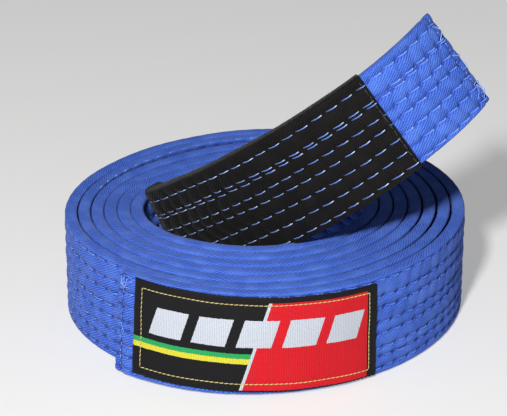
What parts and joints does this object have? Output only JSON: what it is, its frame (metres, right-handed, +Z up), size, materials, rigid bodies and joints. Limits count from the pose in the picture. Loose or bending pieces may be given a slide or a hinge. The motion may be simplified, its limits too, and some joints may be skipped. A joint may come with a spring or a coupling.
{
  "type": "martial arts belt",
  "caption": "Quilted cotton martial arts belt rolled on its edge, with a woven end label outside and a black rank bar end pulled up out of the middle.",
  "frame": {"origin": "on the surface that the roll stands on, under the middle of the whole part's bounding box", "axes": "+Z up, along the roll's axis and the belt's width; the loose label end is at -X -Y; the tail with the rank bar rises towards +X"},
  "size_m": [0.1594, 0.1578, 0.123],
  "materials": {
    "blue_twill": "blue cotton twill, matt, quilted",
    "black_twill": "black cotton twill, matt",
    "label_weave": "fine woven polyester label, slight sheen",
    "blue_thread": "light blue sewing thread, slight sheen",
    "gold_thread": "gold sewing thread, slight sheen",
    "padding": "undyed cotton padding strip"
  },
  "bodies": {
    "root": {"core_back_coil": "padding", "core_back_inner_turn": "padding", "core_back_rise": "padding", "core_front_coil": "padding", "core_front_inner_turn": "padding", "core_front_rise": "padding", "cover_coil": "blue_twill", "cover_inner_turn": "blue_twill", "cover_rise": "blue_twill", "quilt_row_1_inner": "blue_thread", "quilt_row_2_inner": "blue_thread", "quilt_row_3_inner": "blue_thread", "quilt_row_4_inner": "blue_thread", "quilt_row_5_inner": "blue_thread", "quilt_row_6_inner": "blue_thread", "quilt_row_7_inner": "blue_thread", "quilt_row_8_inner": "blue_thread", "rank_bar_inner": "black_twill"},
    "label_end": {"core_back_label_end": "padding", "core_front_label_end": "padding", "cover_label_end": "blue_twill", "label": "label_weave", "label_end_seam": "blue_thread", "label_thread": "gold_thread"},
    "tail": {"core_back_tail": "padding", "core_front_tail": "padding", "cover_tail": "blue_twill", "quilt_row_1_outer": "blue_thread", "quilt_row_2_outer": "blue_thread", "quilt_row_3_outer": "blue_thread", "quilt_row_4_outer": "blue_thread", "quilt_row_5_outer": "blue_thread", "quilt_row_6_outer": "blue_thread", "quilt_row_7_outer": "blue_thread", "quilt_row_8_outer": "blue_thread", "rank_bar_outer": "black_twill", "rank_bar_seam": "blue_thread"},
    "tip": {"core_back_tip": "padding", "core_front_tip": "padding", "cover_tip": "blue_twill", "quilt_row_1_tip": "blue_thread", "quilt_row_2_tip": "blue_thread", "quilt_row_3_tip": "blue_thread", "quilt_row_4_tip": "blue_thread", "quilt_row_5_tip": "blue_thread", "quilt_row_6_tip": "blue_thread", "quilt_row_7_tip": "blue_thread", "quilt_row_8_tip": "blue_thread", "tip_end_seam": "blue_thread"}
  },
  "joints": [
    {"name": "label_end_peel", "type": "hinge", "parent": "root", "child": "label_end", "pos_m": [0.04026, -0.05687, 0.02], "axis": [0, 0, 1], "range_deg": [0, 60], "stiffness_Nm_per_rad": 0.02},
    {"name": "tail_curl", "type": "hinge", "parent": "root", "child": "tail", "pos_m": [0.00091, -0.03435, 0.06116], "axis": [-0.5114, 0.1075, 0.8526], "range_deg": [-30, 30], "stiffness_Nm_per_rad": 0.1},
    {"name": "tip_curl", "type": "hinge", "parent": "tail", "child": "tip", "pos_m": [0.04463, -0.03618, 0.09302], "axis": [-0.5785, 0.1103, 0.8082], "range_deg": [-30, 30], "stiffness_Nm_per_rad": 0.05}
  ]
}
